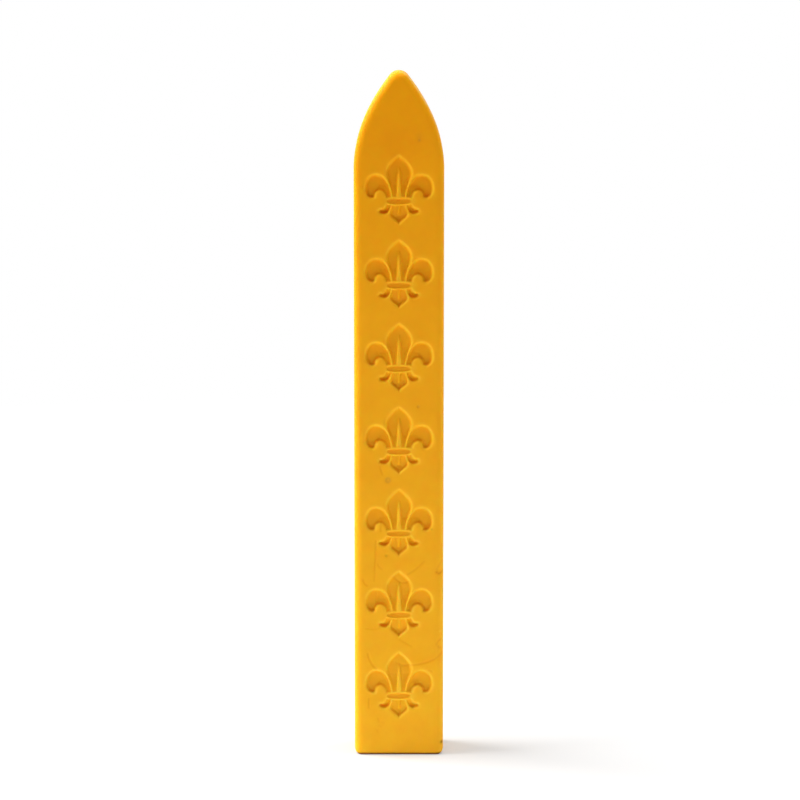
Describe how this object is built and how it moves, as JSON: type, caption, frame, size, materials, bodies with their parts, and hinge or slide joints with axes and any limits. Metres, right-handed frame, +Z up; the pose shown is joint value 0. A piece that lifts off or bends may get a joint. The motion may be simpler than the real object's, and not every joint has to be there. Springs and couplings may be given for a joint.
{
  "type": "sealing wax stick",
  "caption": "Flat, straight stick of sealing wax with a pointed round tip and a row of recessed lilies down one face; it is melted drop by drop to seal letters.",
  "frame": {"origin": "centre of the flat base on which the stick stands", "axes": "+Z up along the stick towards its tip, +Y from the face with the lilies to the plain back, +X to the right as seen facing the lilies"},
  "size_m": [0.0116, 0.008, 0.09],
  "materials": {
    "sealing_wax": "satin, slightly translucent"
  },
  "bodies": {
    "root": {"wax_stick": "sealing_wax"}
  },
  "joints": []
}
